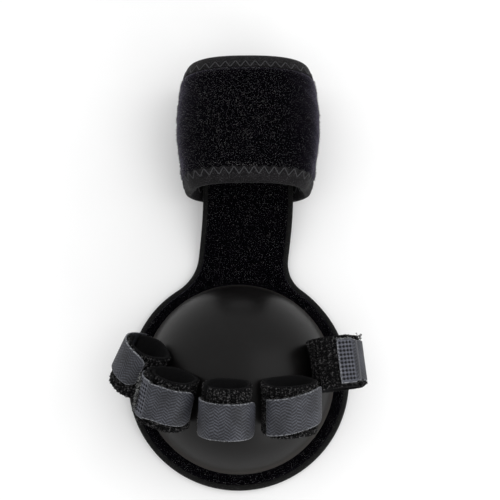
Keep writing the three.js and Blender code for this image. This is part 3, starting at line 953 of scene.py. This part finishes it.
def hook_tab(name, loop):
    """The woven grey back of a hook tab, with pressed weld dots where it shows them."""
    row, length = loop.row, loop.tab_path.length
    corner = np.radians(np.linspace(0, 78, 14))
    distance = np.concatenate([
        np.arange(0, length - TAB_CORNER, TAB_GRID), length - TAB_CORNER * (1 - np.sin(corner)),
    ])
    half = loop.tab_half(distance)[:, None]
    share = np.linspace(-1, 1, int(row["tab"] / TAB_GRID))
    u = share * half
    v = np.repeat(distance[:, None], len(share), 1)
    edge = np.minimum.reduce([half - np.abs(u), v, length - v])
    run = loop.tab_run(v)
    dots, net = weld_marks(run, u, row["weld"], row["weld_from"], row["tab"])
    ridge = herringbone(run, u)
    pressed = smooth(loop.weld_end - run, 0, 1) if row["weld"] else 0 * v
    relief = 0.1 * ridge * (1 - 0.6 * pressed) - 0.5 * dots - 0.15 * pressed - 0.3 * rounded(edge, 0.4)
    curl = 0.5 * smooth(v, length - 5, length)
    upper = loop.on_tab(u, v, TAB_THICKNESS + relief + curl)
    lower = loop.on_tab(u, v, 0.35 + curl)
    woven = ridge * (1 - pressed) + (0.55 + 0.9 * net) * pressed
    marks = np.stack([woven, smooth(0.5 - edge, 0, 0.35), dots], -1)
    under = np.broadcast_to([0.2, 0, 0], marks.shape)
    return make_piece(name, both_faces(upper, lower), sheet_faces(*u.shape), hook_tape, "hook_tape",
                      marks=both_faces(marks, under))


def tab_hooks(name, loop):
    """Fine hooks that show past the tab's edges, most of them past its long ones."""
    length, count = loop.tab_path.length, HOOK_COUNT
    share = rng.uniform(0, 1, count) / 0.86
    beside = share < 1
    edge = rng.choice([-1, 1], count, p=[0.35, 0.65])
    distance = np.where(beside, share * length, length - 0.3)
    across = np.where(beside, edge * loop.tab_half(distance), rng.uniform(-6, 6, count))
    here, along_u, along_v, outward = directions(loop.on_tab, across * 0.985, distance, 0.4)
    away = np.where(beside[:, None], along_u * edge[:, None], along_v)
    away = unit(away + rng.normal(size=here.shape) * 0.25)
    reach = rng.uniform(0.25, 0.75, (count, 1))
    paths = np.stack([
        here - away * 0.3,
        here + away * reach * 0.6 - outward * 0.1,
        here + away * reach - outward * 0.35,
        here + away * reach * 0.7 - outward * 0.65,
    ], 1)
    reference = np.repeat(np.cross(away, outward)[:, None], 4, 1)
    tubes(name, paths, reference, HOOK_RADIUS, 3, hook_thread, "hook_tape")


def frayed_thread(name, loop, fray):
    """Curls of cut thread, pale from a tab's sewn end or dark from the pile beside it."""
    count, reach = fray["count"], fray["reach"]
    across, distance = rng.uniform(fray["low"], fray["high"], (count, 2)).T
    here, along_u, along_v, outward = directions(loop.on_tab, across, distance, TAB_THICKNESS * 0.6)
    sway = rng.normal(size=(count, 1)) * 0.5
    away = unit(along_u * sway - along_v * 0.6 + outward * rng.uniform(0.2, 1.4, (count, 1)))
    size = reach * rng.uniform(0.5, 1.1, (count, 1))
    curl = along_u * np.where(sway < 0, -0.5, 0.5) * size
    paths = np.stack([
        here - away * 0.4,
        here + away * size * 0.5 + outward * 0.15,
        here + away * size + curl * 0.4,
        here + away * size * 0.9 + curl - outward * 0.25,
        here + away * size * 0.45 + curl - outward * 0.3,
    ], 1)
    reference = np.repeat(outward[:, None] + 0.3 * away[:, None], 5, 1)
    material, slot = (pile_thread, "pile_tape") if fray["dark"] else (hook_thread, "hook_tape")
    tubes(name, paths, reference, FRAY_RADIUS, 4, material, slot)


def finger_loop(finger, row):
    """One loop: its tape and pile, its tab and hooks, and its frayed thread."""
    loop = Loop(row)
    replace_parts(tape_strip(f"loop_tape_{finger}", loop), f"finger_loop_{finger}")
    tape_pile(f"loop_pile_{finger}", loop)
    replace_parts(hook_tab(f"tab_back_{finger}", loop), f"hook_tab_{finger}")
    tab_hooks(f"tab_hooks_{finger}", loop)
    for place, fray in FRAYS.items():
        if fray["loop"] == finger:
            frayed_thread(f"frayed_{place}", loop, fray)


# The splint

board_velour()
strap_velour()
pile_field("board_pile", on_board, board_padding, density=2.2, height=0.7,
           low=(-BASE_RADIUS, -BASE_RADIUS), high=(BASE_RADIUS, BOARD_END))
pile_field("strap_pile", on_strap, strap_padding, density=3.2, height=0.8,
           low=(-STRAP_WIDTH / 2, 0), high=(STRAP_WIDTH / 2, strap_path.length))
folded_tape("board_edge_binding", board_outline(), on_board, lip=EDGE_LIP, tape=EDGE_TAPE, sink=EDGE_SINK,
            nose=2.2, pucker=0.3, material=board_tape, node="board_edge_tape")
folded_tape("strap_binding", strap_outline(), on_strap, lip=STRAP_LIP, tape=STRAP_TAPE, sink=0,
            nose=1.6, pucker=1, material=strap_tape, node="wrist_strap_edge_tape")
zigzag("strap_stitches", strap_outline(), on_strap, near=STRAP_LIP - STITCH_REACH, far=STRAP_LIP + 0.1,
       lift=0.3)
ball_pad()
for finger, row in LOOPS.items():
    finger_loop(finger, row)


# Floor, light and camera

def floor():
    bpy.ops.mesh.primitive_plane_add(size=4, location=(0, 0, -0.0002))
    plane = bpy.context.object
    plane.name = "floor"
    finish = Finish("floor_paper", Specular_IOR_Level=0.1)
    tone = finish.mix(finish.noise(40.0), srgb(246, 246, 246), srgb(250, 250, 250))
    plane.data.materials.append(finish.set(Base_Color=tone, Roughness=0.9))


def area_light(name, place, aim, size, power):
    """A square lamp at a place in metres, turned to shine at another."""
    data = bpy.data.lights.new(name, "AREA")
    data.size = size
    data.energy = power
    lamp = bpy.data.objects.new(name, data)
    bpy.context.scene.collection.objects.link(lamp)
    lamp.location = place
    lamp.rotation_euler = (Vector(aim) - lamp.location).to_track_quat("-Z", "Y").to_euler()


def studio():
    world = bpy.data.worlds.new("studio")
    bpy.context.scene.world = world
    world.use_nodes = True
    world.node_tree.nodes["Background"].inputs["Color"].default_value = (1, 1, 1, 1)
    world.node_tree.nodes["Background"].inputs["Strength"].default_value = 1.0
    area_light("key", place=(0.6, 0.1, 0.75), aim=(0, 0.05, 0), size=0.8, power=1.7)
    area_light("front", place=(0.5, -0.6, 0.26), aim=(0, -0.02, 0.02), size=0.5, power=1.9)
    bpy.context.scene.view_settings.view_transform = "Standard"


CAMERA_TILT = math.radians(13)
CAMERA_AIM = np.array([5.2, 56.0, 25.0]) * MM
CAMERA_DISTANCE = 0.7
FOCAL_PIXELS = 1540
FRAME_PIXELS = 500


def camera():
    data = bpy.data.cameras.new("camera")
    data.sensor_width = 36
    data.lens = 36 * FOCAL_PIXELS / FRAME_PIXELS
    data.clip_start = 0.01
    eye = bpy.data.objects.new("camera", data)
    bpy.context.scene.collection.objects.link(eye)
    back = np.array([0, -math.sin(CAMERA_TILT), math.cos(CAMERA_TILT)])
    eye.location = CAMERA_AIM + back * CAMERA_DISTANCE
    eye.rotation_euler = (CAMERA_TILT, 0, 0)
    bpy.context.scene.camera = eye


floor()
studio()
camera()
